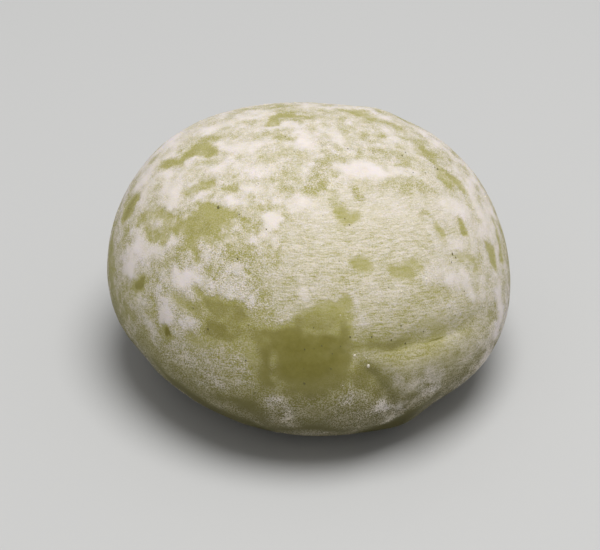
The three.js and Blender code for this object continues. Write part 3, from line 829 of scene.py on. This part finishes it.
# What lies loose on the skin. Sizes are radii, and picked places are (longitude, latitude, radius).
lump = {
    "slimmest": 0.6,  # breadth against length
    "ripples": 1 / 6,  # size
    "turnSeed": 1,
    "slimSeed": 2,
}
starchGrains = {
    "smallest": 0.045,
    "largest": 0.1,
    "flatness": 0.6,
    "ragged": 0.02,
    "apart": 0.26,
    "perSquareMm": 1.5,
    "where": "looseGrains",
    "sides": (4, 2),
    "seed": 3,
    "picked": [],
}
starchClumps = {
    "smallest": 0.1,
    "largest": 0.2,
    "flatness": 0.55,
    "ragged": 0.12,
    "apart": 1.1,
    "perSquareMm": 0.06,
    "where": "clumps",
    "sides": (8, 5),
    "seed": 5,
    "picked": [
        (-73.5, 10, 0.29), (-49, 29.5, 0.2), (-31.5, 24, 0.14), (-33.5, 17.5, 0.14),
    ],
}
mugwortFlecks = {
    "smallest": 0.035,
    "largest": 0.1,
    "flatness": 0.25,
    "ragged": 0.06,
    "apart": 1.8,
    "perSquareMm": 0.08,
    "where": "flecks",
    "sides": (6, 4),
    "seed": 8,
    "picked": [
        (-140.5, 50.5, 0.24), (-176, 27.5, 0.13), (-128.5, 52, 0.12), (-161, 39, 0.1), (-112, 50.5, 0.11),
        (-119, 39.5, 0.14), (-122, 17.5, 0.16), (-128.5, 21.5, 0.12), (-109, 11.5, 0.13), (-92, 17, 0.13),
        (-87, 18, 0.12), (-84, 15.5, 0.1), (-81.5, 17.5, 0.1), (-84.5, 11, 0.13), (-92, 6.5, 0.19),
        (-94.5, -3.5, 0.14), (-82.5, -4, 0.14), (-78.5, 20, 0.14), (-72, 19, 0.14), (-66, 16.5, 0.14),
        (-62.5, 20, 0.14), (-61.5, 14, 0.16), (-55, 15.5, 0.13), (5, 58, 0.15), (9, 56.5, 0.12),
        (3.5, 45.5, 0.2), (4, 46.5, 0.14), (4, 77, 0.14), (-33, 30.5, 0.2), (-32.5, 29, 0.14),
        (-35.5, 29, 0.11), (-36, 19.5, 0.12), (-71.5, 55, 0.12), (-70.5, 52.5, 0.12), (-65.5, -4, 0.14),
        (-106, 1.5, 0.12),
    ],
}


def makeScatterTree():
    # lays lumps on a skin, at picked places and by chance, as thickly as an attribute of the skin says
    tree = bpy.data.node_groups.new("scatterOnSkin", "GeometryNodeTree")
    kinds = {
        "Places": "Geometry", "Skin": "Object", "Where": "String", "Density": "Float", "Apart": "Float",
        "Smallest": "Float", "Largest": "Float", "Flatness": "Float", "Raggedness": "Float",
        "Sides": "Int", "Rings": "Int", "Seed": "Int", "Finish": "Material",
    }
    for name, kind in kinds.items():
        tree.interface.new_socket(name, in_out="INPUT", socket_type="NodeSocket" + kind)
    tree.interface.new_socket("Pieces", in_out="OUTPUT", socket_type="NodeSocketGeometry")
    given = addNode(tree, "NodeGroupInput").outputs

    skinShape = addNode(tree, "GeometryNodeObjectInfo", {
        "Object": given["Skin"],
    }, transform_space="RELATIVE").outputs["Geometry"]
    thickness = addNode(tree, "GeometryNodeInputNamedAttribute", {"Name": given["Where"]}).outputs[0]
    byChance = addNode(tree, "GeometryNodeDistributePointsOnFaces", {
        "Mesh": skinShape, "Distance Min": given["Apart"], "Density Max": given["Density"],
        "Density Factor": thickness, "Seed": given["Seed"],
    }, distribute_method="POISSON").outputs
    draw = addNode(tree, "FunctionNodeRandomValue", {"Seed": given["Seed"]}).outputs[1]
    small = addMath(tree, "MULTIPLY", draw, draw)
    size = addRamp(tree, small, 0.0, 1.0, given["Smallest"], given["Largest"])
    sized = addNode(tree, "GeometryNodeStoreNamedAttribute", {
        "Geometry": byChance["Points"], "Name": "size", "Value": size,
    }).outputs[0]
    turned = addNode(tree, "GeometryNodeStoreNamedAttribute", {
        "Geometry": sized, "Name": "facing", "Value": byChance["Normal"],
    }, data_type="FLOAT_VECTOR").outputs[0]
    picked = addNode(tree, "GeometryNodeMeshToPoints", {"Mesh": given["Places"]}).outputs[0]
    points = addNode(tree, "GeometryNodeJoinGeometry", {0: turned})
    tree.links.new(picked, points.inputs[0])

    size = addNode(tree, "GeometryNodeInputNamedAttribute", {"Name": "size"}).outputs[0]
    facing = addNode(tree, "GeometryNodeInputNamedAttribute", {
        "Name": "facing",
    }, data_type="FLOAT_VECTOR").outputs[0]
    upright = addNode(tree, "FunctionNodeAlignRotationToVector", {"Vector": facing}, axis="Z").outputs[0]
    turn = addNode(tree, "FunctionNodeRandomValue", {3: 2 * math.pi, "Seed": lump["turnSeed"]}).outputs[1]
    spin = addNode(tree, "FunctionNodeAxisAngleToRotation", {"Angle": turn}).outputs[0]
    spun = addNode(tree, "FunctionNodeRotateRotation", {
        "Rotation": upright, "Rotate By": spin,
    }, rotation_space="LOCAL").outputs[0]
    slimness = addNode(tree, "FunctionNodeRandomValue", {
        2: lump["slimmest"], 3: 1.0, "Seed": lump["slimSeed"],
    }).outputs[1]
    breadth = addMath(tree, "MULTIPLY", size, slimness)
    height = addMath(tree, "MULTIPLY", size, given["Flatness"])
    sphere = addNode(tree, "GeometryNodeMeshUVSphere", {
        "Segments": given["Sides"], "Rings": given["Rings"], "Radius": 1.0,
    }).outputs[0]
    lumps = addNode(tree, "GeometryNodeInstanceOnPoints", {
        "Points": points.outputs[0],
        "Instance": sphere,
        "Rotation": spun,
        "Scale": addNode(tree, "ShaderNodeCombineXYZ", {0: size, 1: breadth, 2: height}).outputs[0],
    }).outputs[0]
    pieces = addNode(tree, "GeometryNodeRealizeInstances", {0: lumps}).outputs[0]

    place = addNode(tree, "GeometryNodeInputPosition").outputs[0]
    waves = addNode(tree, "ShaderNodeTexNoise", {"Vector": place, "Scale": 1 / (lump["ripples"] * mm)})
    push = addNode(tree, "ShaderNodeVectorMath", {
        0: waves.outputs["Color"], 1: (0.5, 0.5, 0.5),
    }, operation="SUBTRACT").outputs[0]
    push = addScaled(tree, push, given["Raggedness"])
    pieces = addNode(tree, "GeometryNodeSetPosition", {"Geometry": pieces, "Offset": push}).outputs[0]
    pieces = addNode(tree, "GeometryNodeSetShadeSmooth", {"Geometry": pieces}).outputs[0]
    pieces = addNode(tree, "GeometryNodeSetMaterial", {
        "Geometry": pieces, "Material": given["Finish"],
    }).outputs[0]
    addNode(tree, "NodeGroupOutput", {0: pieces})
    return tree


scatterTree = makeScatterTree()
skinTree = BVHTree.FromObject(doughBall, bpy.context.evaluated_depsgraph_get())


def scatter(name, facts, finish):
    hits = [skinTree.ray_cast(core * mm, towards(*stop[:2])) for stop in facts["picked"]]
    places = bpy.data.meshes.new(name)
    places.from_pydata([hit[0] for hit in hits], [], [])
    sizes = [stop[2] * mm for stop in facts["picked"]]
    facing = np.array([hit[1] for hit in hits]).ravel()
    places.attributes.new("size", "FLOAT", "POINT").data.foreach_set("value", sizes)
    places.attributes.new("facing", "FLOAT_VECTOR", "POINT").data.foreach_set("vector", facing)
    piece = bpy.data.objects.new(name, places)
    scene.collection.objects.link(piece)
    modifier = piece.modifiers.new("scatter", "NODES")
    modifier.node_group = scatterTree
    sides, rings = facts["sides"]
    settings = {
        "Skin": doughBall, "Where": facts["where"], "Density": facts["perSquareMm"] / mm**2,
        "Apart": facts["apart"] * mm, "Smallest": facts["smallest"] * mm, "Largest": facts["largest"] * mm,
        "Flatness": facts["flatness"], "Raggedness": facts["ragged"] * mm, "Sides": sides, "Rings": rings,
        "Seed": facts["seed"], "Finish": finish,
    }
    for socket in scatterTree.interface.items_tree:
        if socket.name in settings:
            modifier[socket.identifier] = settings[socket.name]
    evaluated = piece.evaluated_get(bpy.context.evaluated_depsgraph_get())
    mesh = bpy.data.meshes.new_from_object(evaluated)
    piece.modifiers.clear()
    piece.data = mesh
    mesh.name = name
    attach(piece, "root")
    print(name, "laid,", len(mesh.polygons), "faces")


def cloudedFinish(name, facts):
    material = bpy.data.materials.new(name)
    material.use_nodes = True
    tree = material.node_tree
    shader = tree.nodes["Principled BSDF"]
    place = addNode(tree, "ShaderNodeTexCoord").outputs["Object"]
    clouds = addNoise(tree, place, facts["cloudSize"] * mm)
    colour = addMixed(tree, clouds, *[fromHex(code) for code in facts["colours"]])
    tree.links.new(colour, shader.inputs["Base Color"])
    shader.inputs["Roughness"].default_value = facts["roughness"]
    return material


# Dry potato starch, caked by the damp of the dough: a matt, slightly uneven white
looseStarch = {"colours": ("#EEE7D8", "#DAD2B8"), "cloudSize": 0.4, "roughness": 1.0}
# Mugwort leaf, dried and ground, kneaded into the dough: dark green to brown flecks under its satin skin
groundLeaf = {"colours": ("#57522C", "#716B3A"), "cloudSize": 1.5, "roughness": 0.6}

starchWhite = cloudedFinish("caked potato starch", looseStarch)
scatter("starchGrains", starchGrains, starchWhite)
scatter("starchClumps", starchClumps, starchWhite)
scatter("mugwortFlecks", mugwortFlecks, cloudedFinish("ground mugwort leaf", groundLeaf))
